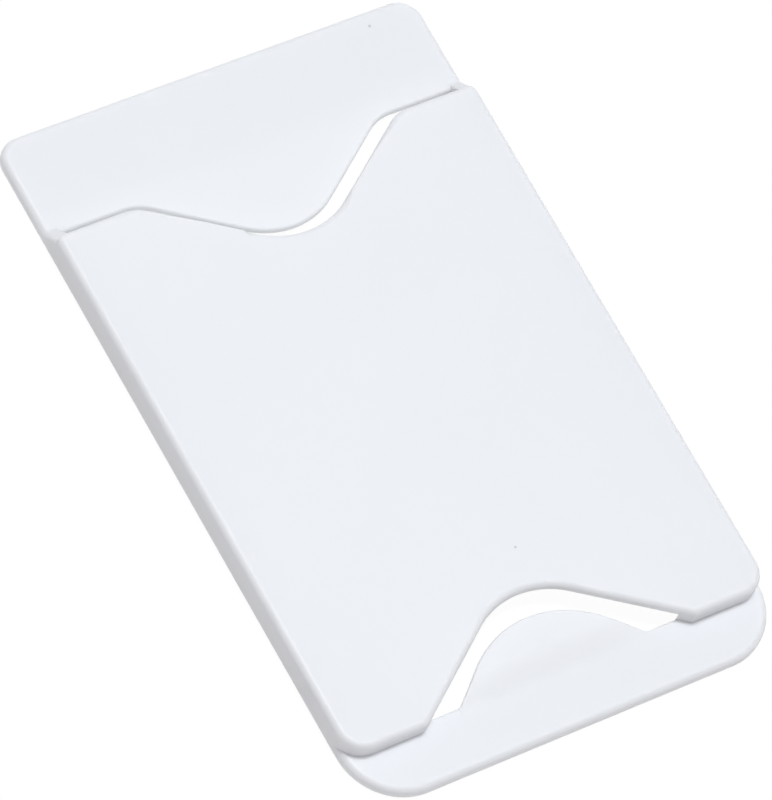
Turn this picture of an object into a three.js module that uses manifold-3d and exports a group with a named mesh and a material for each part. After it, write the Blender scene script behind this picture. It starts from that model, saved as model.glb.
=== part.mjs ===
// Card holder for the back of a phone: one moulding of hard plastic, drawn with its back on z = 0, its
// length along y and its bottom end towards -y. A raised front plate stands on two side rails. A card
// slides in over the top tab and under the plate, until it meets the two stop walls at the bottom.
import * as THREE from 'three';
import { mergeVertices } from 'three/addons/utils/BufferGeometryUtils.js';
import Module from 'manifold-3d';

// Bank card that the pocket takes, with its play, in millimetres
const CARD_WIDTH = 53.98;
const CARD_LENGTH = 85.6;
const CARD_SIDE_PLAY = 1.11;
const CARD_SLOT_HEIGHT = 1.3;

// Walls
const RAIL_THICKNESS = 1.9;
const STOP_THICKNESS = 1.2;
const TAB_THICKNESS = 1.6;
const PLATE_THICKNESS = 1.1;
const LIP_THICKNESS = 0.8;
const TONGUE_THICKNESS = 0.8;

// Lengths along the holder
const BOTTOM_TAB_LENGTH = 6.5;
const TOP_MARGIN = 1.85;
const PLATE_LENGTH = 73.88;

// Corners seen from the front
const BOTTOM_CORNER_RADIUS = 8.2;
const TOP_CORNER_RADIUS = 3.15;
const PLATE_BOTTOM_CORNER_RADIUS = 3.5;
const PLATE_TOP_CORNER_RADIUS = 1;
const POCKET_CORNER_RADIUS = 1;

// Rounded edges
const OUTER_EDGE_ROUND = 0.8;
const LIP_EDGE_ROUND = 0.4;
const INNER_EDGE_ROUND = 0.3;
const BACK_EDGE_ROUND = 0.2;

// Thumb arch in the plate's bottom edge, which pushes the card up
const ARCH_DEPTH = 10.97;
const ARCH_CROWN_RADIUS = 11.2;
const ARCH_FOOT_RADIUS = 1.2;
const ARCH_FLANK_ANGLE = 35;

// Notch in the plate's top edge, and the lip of the top tab that follows it across the slot
const NOTCH_DEPTH = 10.41;
const NOTCH_VALLEY_RADIUS = 11.7;
const NOTCH_CORNER_RADIUS = 5;
const NOTCH_FLANK_ANGLE = 34.5;
const SLOT_WIDTH = 1;
const LIP_TIP_GAP = 1.85;
const LIP_TIP_RADIUS = 11;
const LIP_FOOT_RADIUS = 6;
const LIP_ROOT = 2;

// Spring tongue of the bottom tab, which bends up into the arch and presses on the card
const TONGUE_TIP_GAP = 2.7;
const TONGUE_CROWN_RADIUS = 13.7;
const TONGUE_FOOT_RADIUS = 1;
const TONGUE_FLANK_ANGLE = 41;
const TONGUE_LIFT = 0.7;
const TONGUE_ROOT = 1.5;
const TONGUE_BEND_START = 0.3;
const TONGUE_BEND_LENGTH = 4.5;

// Slope at the upper end of each rail, below the plate's rounded edge
const SLOPE_FOOT_RADIUS = 0.8;
const SLOPE_RUN_OUT = 0.6;

// Fineness of the round stretches, and how far a cutting shape runs past what it cuts
const ROUND_STEPS = 6;
const CORNER_STEPS = 20;
const CROWN_STEPS = 24;
const FOOT_STEPS = 10;
const FLANK_STEPS = 6;
const OVERRUN = 5;

// Sizes that follow from those above
const POCKET_HALF_WIDTH = CARD_WIDTH / 2 + CARD_SIDE_PLAY;
const HALF_WIDTH = POCKET_HALF_WIDTH + RAIL_THICKNESS;
const LENGTH = BOTTOM_TAB_LENGTH + STOP_THICKNESS + CARD_LENGTH + TOP_MARGIN;
const POCKET_TOP = TAB_THICKNESS + CARD_SLOT_HEIGHT;
const HEIGHT = POCKET_TOP + PLATE_THICKNESS;
const BOTTOM_END = -LENGTH / 2;
const TOP_END = LENGTH / 2;
const PLATE_BOTTOM = BOTTOM_END + BOTTOM_TAB_LENGTH;
const STOP_FACE = PLATE_BOTTOM + STOP_THICKNESS;
const PLATE_TOP = PLATE_BOTTOM + PLATE_LENGTH;
const LIP_EDGE = PLATE_TOP + SLOT_WIDTH;
const SLOPE_HEIGHT = HEIGHT - OUTER_EDGE_ROUND;

const wasm = await Module();
wasm.setup();

// Closed geometry as a solid that can be joined and cut
function solid(geometry) {
  geometry.deleteAttribute('normal');
  geometry.deleteAttribute('uv');
  const merged = mergeVertices(geometry);
  return new wasm.Manifold(new wasm.Mesh({
    numProp: 3,
    vertProperties: merged.attributes.position.array,
    triVerts: Uint32Array.from(merged.index.array),
  }));
}

// Points of an arc about (x, y), from one angle to another in radians
function arc(x, y, radius, from, to, steps) {
  return Array.from({ length: steps + 1 }, (_, i) => {
    const angle = THREE.MathUtils.lerp(from, to, i / steps);
    return new THREE.Vector2(x + radius * Math.cos(angle), y + radius * Math.sin(angle));
  });
}

// A hump on a straight edge along y = 0, from its left foot to its right foot: a round crown, two
// straight flanks and two hollow feet. Its points lie in pairs, left and right at the same height.
function hump(height, crownRadius, footRadius, flankDegrees) {
  const slant = THREE.MathUtils.degToRad(flankDegrees);
  const crown = arc(0, height - crownRadius, crownRadius, Math.PI / 2, Math.PI / 2 - slant, CROWN_STEPS / 2);
  const flankTop = crown.at(-1);
  const flankBottom = footRadius * (1 - Math.cos(slant));
  const footX = flankTop.x + (flankTop.y - flankBottom) / Math.tan(slant) + footRadius * Math.sin(slant);
  const foot = arc(footX, footRadius, footRadius, -Math.PI / 2 - slant, -Math.PI / 2, FOOT_STEPS);
  const flank = Array.from({ length: FLANK_STEPS - 1 }, (_, i) => (
    flankTop.clone().lerp(foot[0], (i + 1) / FLANK_STEPS)
  ));
  const right = [...crown, ...flank, ...foot];
  const left = right.slice(1).reverse().map((point) => new THREE.Vector2(-point.x, point.y));
  return [...left, ...right];
}

// Moves outline points to the height y, mirrored first where a direction is -1
function place(points, directionX, directionY, y) {
  return points.map((point) => new THREE.Vector2(directionX * point.x, y + directionY * point.y));
}

function rectangle(x0, y0, x1, y1) {
  return [[x0, y0], [x1, y0], [x1, y1], [x0, y1]].map(([x, y]) => new THREE.Vector2(x, y));
}

// Outline of the whole holder from the front
function holderOutline() {
  const bottom = BOTTOM_CORNER_RADIUS;
  const top = TOP_CORNER_RADIUS;
  const quarter = Math.PI / 2;
  return [
    ...arc(bottom - HALF_WIDTH, BOTTOM_END + bottom, bottom, 2 * quarter, 3 * quarter, CORNER_STEPS),
    ...arc(HALF_WIDTH - bottom, BOTTOM_END + bottom, bottom, -quarter, 0, CORNER_STEPS),
    ...arc(HALF_WIDTH - top, TOP_END - top, top, 0, quarter, CORNER_STEPS),
    ...arc(top - HALF_WIDTH, TOP_END - top, top, quarter, 2 * quarter, CORNER_STEPS),
  ];
}

// Outline of the raised part, with the arch in its bottom edge and the notch in its top edge
function plateOutline() {
  const bottom = PLATE_BOTTOM_CORNER_RADIUS;
  const top = PLATE_TOP_CORNER_RADIUS;
  const quarter = Math.PI / 2;
  const arch = hump(ARCH_DEPTH, ARCH_CROWN_RADIUS, ARCH_FOOT_RADIUS, ARCH_FLANK_ANGLE);
  const notch = hump(NOTCH_DEPTH, NOTCH_VALLEY_RADIUS, NOTCH_CORNER_RADIUS, NOTCH_FLANK_ANGLE);
  return [
    ...arc(bottom - HALF_WIDTH, PLATE_BOTTOM + bottom, bottom, 2 * quarter, 3 * quarter, CORNER_STEPS),
    ...place(arch, 1, 1, PLATE_BOTTOM),
    ...arc(HALF_WIDTH - bottom, PLATE_BOTTOM + bottom, bottom, -quarter, 0, CORNER_STEPS),
    ...arc(HALF_WIDTH - top, PLATE_TOP - top, top, 0, quarter, FOOT_STEPS),
    ...place(notch, -1, -1, PLATE_TOP),
    ...arc(top - HALF_WIDTH, PLATE_TOP - top, top, quarter, 2 * quarter, FOOT_STEPS),
  ];
}

// Upright block over an outline, from z = bottom to z = top
function block(outline, bottom, top) {
  const shape = new THREE.Shape(outline);
  const geometry = new THREE.ExtrudeGeometry(shape, { depth: top - bottom, bevelEnabled: false });
  return solid(geometry.translate(0, 0, bottom));
}

// Block over an outline with its upper edge rounded. It reaches below z = 0, where the back is cut level.
function slab(outline, top, round) {
  const geometry = new THREE.ExtrudeGeometry(new THREE.Shape(outline), {
    depth: top,
    bevelThickness: round,
    bevelSize: round,
    bevelOffset: -round,
    bevelSegments: ROUND_STEPS,
  });
  return solid(geometry.translate(0, 0, -round));
}

// Plate, rails and stop walls in one: the raised outline, hollowed from the back by the card's pocket
function raisedPart() {
  const radius = POCKET_CORNER_RADIUS;
  const quarter = Math.PI / 2;
  const pocket = block([
    ...arc(radius - POCKET_HALF_WIDTH, STOP_FACE + radius, radius, 2 * quarter, 3 * quarter, FOOT_STEPS),
    ...arc(POCKET_HALF_WIDTH - radius, STOP_FACE + radius, radius, -quarter, 0, FOOT_STEPS),
    new THREE.Vector2(POCKET_HALF_WIDTH, PLATE_TOP + OVERRUN),
    new THREE.Vector2(-POCKET_HALF_WIDTH, PLATE_TOP + OVERRUN),
  ], -OVERRUN, POCKET_TOP);
  return slab(plateOutline(), HEIGHT, OUTER_EDGE_ROUND).subtract(pocket);
}

// Side view of a rail's end, from the top tab back into the plate: x is the place along the holder and
// y the height. The slope falls at 45 degrees from the foot of the plate's rounded edge.
function slopeProfile() {
  const turn = Math.PI / 4;
  const foot = PLATE_TOP + SLOPE_HEIGHT - TAB_THICKNESS;
  const footReach = SLOPE_FOOT_RADIUS * Math.tan(turn / 2);
  const footCentre = TAB_THICKNESS + SLOPE_FOOT_RADIUS;
  return [
    new THREE.Vector2(foot + footReach + SLOPE_RUN_OUT, TAB_THICKNESS),
    ...arc(foot + footReach, footCentre, SLOPE_FOOT_RADIUS, -2 * turn, -3 * turn, ROUND_STEPS),
    new THREE.Vector2(PLATE_TOP, SLOPE_HEIGHT),
    new THREE.Vector2(PLATE_TOP - PLATE_TOP_CORNER_RADIUS - OUTER_EDGE_ROUND, SLOPE_HEIGHT),
  ];
}

// Sloping end of a rail on one side (1 right, -1 left): the rail's section follows the slope down,
// so its rounded outer edge runs on into the tab's.
function railEnd(side) {
  const round = OUTER_EDGE_ROUND;
  const rows = slopeProfile();
  const section = new THREE.Shape([
    new THREE.Vector2(POCKET_HALF_WIDTH, -OVERRUN),
    new THREE.Vector2(HALF_WIDTH, -OVERRUN),
    ...arc(HALF_WIDTH - round, SLOPE_HEIGHT - round, round, 0, Math.PI / 2, ROUND_STEPS),
    new THREE.Vector2(POCKET_HALF_WIDTH, SLOPE_HEIGHT),
  ]);
  const steps = rows.length - 1;
  const geometry = new THREE.ExtrudeGeometry(section, { depth: steps, steps, bevelEnabled: false });
  const position = geometry.attributes.position;
  for (let i = 0; i < position.count; i += 1) {
    const row = rows[Math.round(position.getZ(i))];
    const height = position.getY(i);
    const fall = height > 0 ? SLOPE_HEIGHT - row.y : 0;
    position.setXYZ(i, position.getX(i), row.x, height - fall);
  }
  const end = solid(geometry);
  return side > 0 ? end : end.mirror([1, 0, 0]);
}

// Height that the tongue has gained at a place along the holder
function tongueLift(y) {
  const start = STOP_FACE - TONGUE_ROOT + TONGUE_BEND_START;
  return TONGUE_LIFT * THREE.MathUtils.smoothstep(y, start, start + TONGUE_BEND_LENGTH);
}

// Tongue with an even wall that bends up towards its tip. Rings of points climb its edge, each one
// the outline moved inwards by the edge's rounding, and rows across it close the front and the back.
function tongue() {
  const height = ARCH_DEPTH - STOP_THICKNESS - TONGUE_TIP_GAP;
  const levels = [{ inset: 0, z: TAB_THICKNESS - TONGUE_THICKNESS }];
  for (let i = 0; i <= ROUND_STEPS; i += 1) {
    const angle = (Math.PI / 2) * (i / ROUND_STEPS);
    levels.push({
      inset: INNER_EDGE_ROUND * (1 - Math.cos(angle)),
      z: TAB_THICKNESS - INNER_EDGE_ROUND * (1 - Math.sin(angle)),
    });
  }
  const rings = levels.map(({ inset, z }) => {
    const crown = TONGUE_CROWN_RADIUS - inset;
    const edge = hump(height, crown, TONGUE_FOOT_RADIUS + inset, TONGUE_FLANK_ANGLE);
    const root = Array.from({ length: FOOT_STEPS }, (_, i) => (
      new THREE.Vector2(edge[0].x, -TONGUE_ROOT * (1 - i / FOOT_STEPS))
    ));
    const otherRoot = root.map((point) => new THREE.Vector2(-point.x, point.y)).reverse();
    const outline = place([...root, ...edge, ...otherRoot], 1, 1, STOP_FACE - inset);
    return outline.map(({ x, y }) => new THREE.Vector3(x, y, z + tongueLift(y)));
  });
  const count = rings[0].length;
  const index = [];
  for (let level = 0; level < rings.length - 1; level += 1) {
    for (let i = 0; i < count; i += 1) {
      const a = level * count + i;
      const b = level * count + (i + 1) % count;
      index.push(a, a + count, b + count, a, b + count, b);
    }
  }
  const front = (rings.length - 1) * count;
  for (let i = 0; i < (count - 1) / 2; i += 1) {
    const right = count - 1 - i;
    index.push(front + i, front + right, front + right - 1, i, right - 1, right);
    if (i + 1 < right - 1) {
      index.push(front + i, front + right - 1, front + i + 1, i, i + 1, right - 1);
    }
  }
  const geometry = new THREE.BufferGeometry().setFromPoints(rings.flat());
  return solid(geometry.setIndex(index));
}

// Bottom tab, up to the stop walls' inner face. At the sides it runs on past the plate's round corners
// and into the rails.
function bottomTab() {
  const side = HALF_WIDTH + OVERRUN;
  const railMiddle = HALF_WIDTH - RAIL_THICKNESS / 2;
  const railPlace = PLATE_BOTTOM + PLATE_BOTTOM_CORNER_RADIUS + OVERRUN;
  const region = [
    new THREE.Vector2(-side, BOTTOM_END - OVERRUN),
    new THREE.Vector2(side, BOTTOM_END - OVERRUN),
    new THREE.Vector2(side, railPlace),
    new THREE.Vector2(railMiddle, railPlace),
    new THREE.Vector2(railMiddle, STOP_FACE),
    new THREE.Vector2(-railMiddle, STOP_FACE),
    new THREE.Vector2(-railMiddle, railPlace),
    new THREE.Vector2(-side, railPlace),
  ];
  return slab(holderOutline(), TAB_THICKNESS, OUTER_EDGE_ROUND)
    .intersect(slab(region, TAB_THICKNESS, INNER_EDGE_ROUND));
}

// Top tab, whose wavy lip reaches down into the plate's notch. The lip is thinned from the back, by a
// recess as wide as the pocket.
function topTab() {
  const side = HALF_WIDTH + OVERRUN;
  const height = NOTCH_DEPTH + SLOT_WIDTH - LIP_TIP_GAP;
  const lip = hump(height, LIP_TIP_RADIUS, LIP_FOOT_RADIUS, NOTCH_FLANK_ANGLE);
  const region = [
    new THREE.Vector2(-side, LIP_EDGE),
    ...place(lip, 1, -1, LIP_EDGE),
    new THREE.Vector2(side, LIP_EDGE),
    new THREE.Vector2(side, TOP_END + OVERRUN),
    new THREE.Vector2(-side, TOP_END + OVERRUN),
  ];
  const recess = rectangle(-POCKET_HALF_WIDTH, BOTTOM_END, POCKET_HALF_WIDTH, LIP_EDGE + LIP_ROOT);
  return slab(holderOutline(), TAB_THICKNESS, OUTER_EDGE_ROUND)
    .intersect(slab(region, TAB_THICKNESS, LIP_EDGE_ROUND))
    .subtract(block(recess, -OVERRUN, TAB_THICKNESS - LIP_THICKNESS));
}

// Everything within the holder's outline and above its back, whose edge is slightly rounded
function envelope() {
  const geometry = new THREE.ExtrudeGeometry(new THREE.Shape(holderOutline()), {
    depth: HEIGHT + OVERRUN,
    bevelThickness: BACK_EDGE_ROUND,
    bevelSize: BACK_EDGE_ROUND,
    bevelOffset: -BACK_EDGE_ROUND,
    bevelSegments: ROUND_STEPS / 2,
  });
  return solid(geometry.translate(0, 0, BACK_EDGE_ROUND));
}

function cardHolder() {
  const body = raisedPart()
    .add(bottomTab())
    .add(tongue())
    .add(topTab())
    .add(railEnd(1))
    .add(railEnd(-1))
    .intersect(envelope());
  const { vertProperties, triVerts } = body.getMesh();
  const geometry = new THREE.BufferGeometry();
  geometry.setAttribute('position', new THREE.BufferAttribute(vertProperties, 3));
  geometry.setIndex(new THREE.BufferAttribute(triVerts, 1));
  geometry.computeVertexNormals();
  const plastic = new THREE.MeshStandardMaterial({ color: 0xf1f1f1, roughness: 0.5, metalness: 0 });
  const mesh = new THREE.Mesh(geometry, plastic);
  mesh.name = 'card_holder';
  return mesh;
}

const group = new THREE.Group();
group.add(cardHolder());

export default group;
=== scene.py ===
"""Looks of the card holder: one white injection moulding on a white table, lit by an overhead soft box."""
from math import cos, radians

import bmesh
import bpy
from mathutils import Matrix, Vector


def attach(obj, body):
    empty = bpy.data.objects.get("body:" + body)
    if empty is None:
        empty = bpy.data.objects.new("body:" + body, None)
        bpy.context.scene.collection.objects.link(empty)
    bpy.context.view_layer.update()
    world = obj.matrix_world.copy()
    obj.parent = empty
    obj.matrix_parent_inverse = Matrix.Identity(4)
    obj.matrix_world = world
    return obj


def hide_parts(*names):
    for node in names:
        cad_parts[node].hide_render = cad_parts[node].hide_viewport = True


MM = 0.001

# Camera, in millimetres and degrees in the holder's frame
CAMERA_PLACE = (-413.50, -279.66, 784.95)
CAMERA_TURN = (28.780, -15.620, -29.802)
CAMERA_LENS = 349.17
CAMERA_SENSOR = 36.0
CAMERA_NEAR = 100.0
CAMERA_FAR = 10000.0

# Light. Tilts are turns about X and Y from straight down, and spreads are as wide as the light looks
# from the holder, both in degrees.
SKY_COLOUR = "#fff8f6"
SKY_STRENGTH = 0.31
SOFT_BOX = {"colour": "#f5fbff", "strength": 2.13, "tilt": (-8.0, 6.5, 0.0), "spread": 14.0}
FILL_CARD = {"colour": "#fff8f6", "strength": 0.11, "tilt": (30.0, -35.3, 0.0), "spread": 50.0}

# Table top, in millimetres, and how bright it is: the light that it gives, and the light and the
# share of shadow that the camera sees there, where 1 is white
TABLE_REACH = 2000.0
TABLE_GAP = 0.02
TABLE_WHITE = "#dedede"
TABLE_BACKLIGHT = 0.25
TABLE_GLOW = 0.95
TABLE_SHADE = 0.06

# Polycarbonate, with its depths and sizes in millimetres
POLYCARBONATE_WHITE = "#eeeff2"
POLYCARBONATE_CLOUD = "#ecedf0"
POLYCARBONATE_IOR = 1.58
SCATTER_DEPTH = 1.0
SATIN_ROUGHNESS = 0.5
SATIN_GRAIN = 0.3
SATIN_HEIGHT = 0.002
CLOUD_SIZE = 18.0

# Specks of dust: centre and radius of each, and the share of the radius that is covered in full
DUST_GREY = "#cfcfd1"
DUST_SPECKS = (((22.66, 45.42, 1.6), 0.25), ((2.46, -24.81, 4.0), 0.22))
DUST_CORE = 0.5

# Shading of the mesh: corners closer than this many millimetres are one, an edge sharper than this
# many degrees stays an edge, and a face whose normal is this upright is level
WELD_DISTANCE = 0.001
SHARP_EDGE = 32.0
LEVEL_FACE = 0.99999


def linear(code):
    """sRGB hex code as linear red, green, blue and alpha."""
    parts = [int(code[i:i + 2], 16) / 255 for i in (1, 3, 5)]
    return [p / 12.92 if p <= 0.04045 else ((p + 0.055) / 1.055) ** 2.4 for p in parts] + [1.0]


def node(tree, kind, inputs=(), **settings):
    """Adds a shader node. inputs pairs a socket with a value, or with the output that feeds it."""
    made = tree.nodes.new(kind)
    for name, value in settings.items():
        setattr(made, name, value)
    for socket, value in dict(inputs).items():
        if isinstance(value, bpy.types.NodeSocket):
            tree.links.new(value, made.inputs[socket])
        else:
            made.inputs[socket].default_value = value
    return made


def moulded_polycarbonate():
    """Injection-moulded white polycarbonate: light enters it and spreads, which softens its walls and
    thin edges. A fine satin texture from the mould keeps highlights broad. Its grain is really about
    0.05 mm and is drawn coarser, so that it shows. Two specks of dust lie where the photo has them."""
    material = bpy.data.materials.new("moulded_polycarbonate")
    material.use_nodes = True
    tree = material.node_tree
    place = node(tree, "ShaderNodeTexCoord").outputs["Object"]
    clouds = node(tree, "ShaderNodeTexNoise", {
        "Vector": place, "Scale": 1 / (CLOUD_SIZE * MM), "Detail": 2.0})
    tone = node(tree, "ShaderNodeMix", {
        0: clouds.outputs[0], 6: linear(POLYCARBONATE_WHITE), 7: linear(POLYCARBONATE_CLOUD)},
        data_type="RGBA").outputs[2]
    for centre, radius in DUST_SPECKS:
        away = node(tree, "ShaderNodeVectorMath", {0: place, 1: [c * MM for c in centre]},
                    operation="DISTANCE").outputs["Value"]
        cover = node(tree, "ShaderNodeMapRange", {
            "Value": away, "From Min": radius * MM * DUST_CORE, "From Max": radius * MM,
            "To Min": 1.0, "To Max": 0.0}).outputs[0]
        tone = node(tree, "ShaderNodeMix", {0: cover, 6: tone, 7: linear(DUST_GREY)},
                    data_type="RGBA").outputs[2]
    grain = node(tree, "ShaderNodeTexNoise", {
        "Vector": place, "Scale": 1 / (SATIN_GRAIN * MM), "Detail": 1.0})
    satin = node(tree, "ShaderNodeBump", {
        "Height": grain.outputs[0], "Distance": SATIN_HEIGHT * MM, "Strength": 1.0})
    shader = tree.nodes["Principled BSDF"]
    tree.links.new(tone, shader.inputs["Base Color"])
    tree.links.new(satin.outputs[0], shader.inputs["Normal"])
    shader.inputs["Roughness"].default_value = SATIN_ROUGHNESS
    shader.inputs["IOR"].default_value = POLYCARBONATE_IOR
    shader.inputs["Subsurface Weight"].default_value = 1.0
    shader.inputs["Subsurface Radius"].default_value = (1.0, 1.0, 1.0)
    shader.inputs["Subsurface Scale"].default_value = SCATTER_DEPTH * MM
    return material


def opal_acrylic():
    """Cast opal white acrylic, lit a little from below, so that the walls round the openings stay
    light. The camera, mirrors and glass see it brighter than it is: it is white there and keeps only
    a faint shadow of the holder."""
    material = bpy.data.materials.new("opal_acrylic_table")
    material.use_nodes = True
    tree = material.node_tree
    tree.nodes.clear()
    matt = node(tree, "ShaderNodeBsdfDiffuse", {"Color": linear(TABLE_WHITE)})
    backlight = node(tree, "ShaderNodeEmission", {"Strength": TABLE_BACKLIGHT})
    opal = node(tree, "ShaderNodeAddShader", {0: matt.outputs[0], 1: backlight.outputs[0]})
    shade = node(tree, "ShaderNodeBsdfDiffuse", {"Color": [TABLE_SHADE] * 3 + [1.0]})
    glow = node(tree, "ShaderNodeEmission", {"Strength": TABLE_GLOW})
    white = node(tree, "ShaderNodeAddShader", {0: shade.outputs[0], 1: glow.outputs[0]})
    path = node(tree, "ShaderNodeLightPath")
    seen = path.outputs["Is Camera Ray"]
    for ray in ("Is Glossy Ray", "Is Transmission Ray"):
        seen = node(tree, "ShaderNodeMath", {0: seen, 1: path.outputs[ray]},
                    operation="MAXIMUM").outputs[0]
    surface = node(tree, "ShaderNodeMixShader", {0: seen, 1: opal.outputs[0], 2: white.outputs[0]})
    node(tree, "ShaderNodeOutputMaterial", {"Surface": surface.outputs[0]})
    return material


def table():
    """Level table top, a hair under the holder's back, so that the two don't lie in one plane."""
    reach = TABLE_REACH * MM
    mesh = bpy.data.meshes.new("table_top")
    corners = [(-reach, -reach, 0), (reach, -reach, 0), (reach, reach, 0), (-reach, reach, 0)]
    mesh.from_pydata(corners, [], [(0, 1, 2, 3)])
    mesh.materials.append(opal_acrylic())
    top = bpy.data.objects.new("table_top", mesh)
    top.location.z = -TABLE_GAP * MM
    bpy.context.scene.collection.objects.link(top)


def lights():
    """Even sky, the soft box overhead and a weak fill card on the camera's side."""
    world = bpy.data.worlds.new("studio")
    world.use_nodes = True
    world.node_tree.nodes["Background"].inputs["Color"].default_value = linear(SKY_COLOUR)
    world.node_tree.nodes["Background"].inputs["Strength"].default_value = SKY_STRENGTH
    bpy.context.scene.world = world
    for name, light in (("soft_box", SOFT_BOX), ("fill_card", FILL_CARD)):
        sun = bpy.data.lights.new(name, "SUN")
        sun.color = linear(light["colour"])[:3]
        sun.energy = light["strength"]
        sun.angle = radians(light["spread"])
        lamp = bpy.data.objects.new(name, sun)
        lamp.rotation_euler = [radians(a) for a in light["tilt"]]
        bpy.context.scene.collection.objects.link(lamp)


def camera():
    """The photo's view: from high up at the holder's lower left, through a long lens."""
    data = bpy.data.cameras.new("camera")
    data.lens = CAMERA_LENS
    data.sensor_width = CAMERA_SENSOR
    data.clip_start = CAMERA_NEAR * MM
    data.clip_end = CAMERA_FAR * MM
    eye = bpy.data.objects.new("camera", data)
    eye.location = Vector(CAMERA_PLACE) * MM
    eye.rotation_euler = [radians(a) for a in CAMERA_TURN]
    bpy.context.scene.collection.objects.link(eye)
    bpy.context.scene.camera = eye


def corner_normal(face, vertex):
    """Shading normal of a face at one of its corners. It follows the faces round the corner that meet
    this one smoothly, the larger the more, and is exactly upright where one of them is level."""
    limit = cos(radians(SHARP_EDGE))
    near = [other for other in vertex.link_faces if other.normal.dot(face.normal) > limit]
    for other in near:
        if abs(other.normal.z) > LEVEL_FACE:
            return other.normal.copy()
    total = Vector()
    for other in near:
        total += other.normal * other.calc_area()
    return total.normalized()


def holder_shell(solid):
    """The moulding's own surface, welded and shaded so that its rounds run smoothly into its flats."""
    mesh = solid.data.copy()
    mesh.name = "holder_shell"
    weld = bmesh.new()
    weld.from_mesh(mesh)
    bmesh.ops.remove_doubles(weld, verts=weld.verts, dist=WELD_DISTANCE * MM)
    weld.normal_update()
    normals = [corner_normal(face, loop.vert) for face in weld.faces for loop in face.loops]
    weld.to_mesh(mesh)
    weld.free()
    mesh.shade_smooth()
    mesh.normals_split_custom_set(normals)
    mesh.materials.clear()
    mesh.materials.append(moulded_polycarbonate())
    shell = bpy.data.objects.new("holder_shell", mesh)
    bpy.context.scene.collection.objects.link(shell)
    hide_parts("card_holder")
    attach(shell, "root")


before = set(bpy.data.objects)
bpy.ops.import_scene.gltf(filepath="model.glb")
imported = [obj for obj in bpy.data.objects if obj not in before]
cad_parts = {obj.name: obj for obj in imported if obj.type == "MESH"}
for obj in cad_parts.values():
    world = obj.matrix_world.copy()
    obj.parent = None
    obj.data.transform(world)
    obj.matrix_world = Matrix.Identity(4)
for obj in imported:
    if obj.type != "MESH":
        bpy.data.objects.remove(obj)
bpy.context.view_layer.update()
bpy.context.scene.view_settings.view_transform = "Standard"
camera()
lights()
table()
holder_shell(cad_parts["card_holder"])
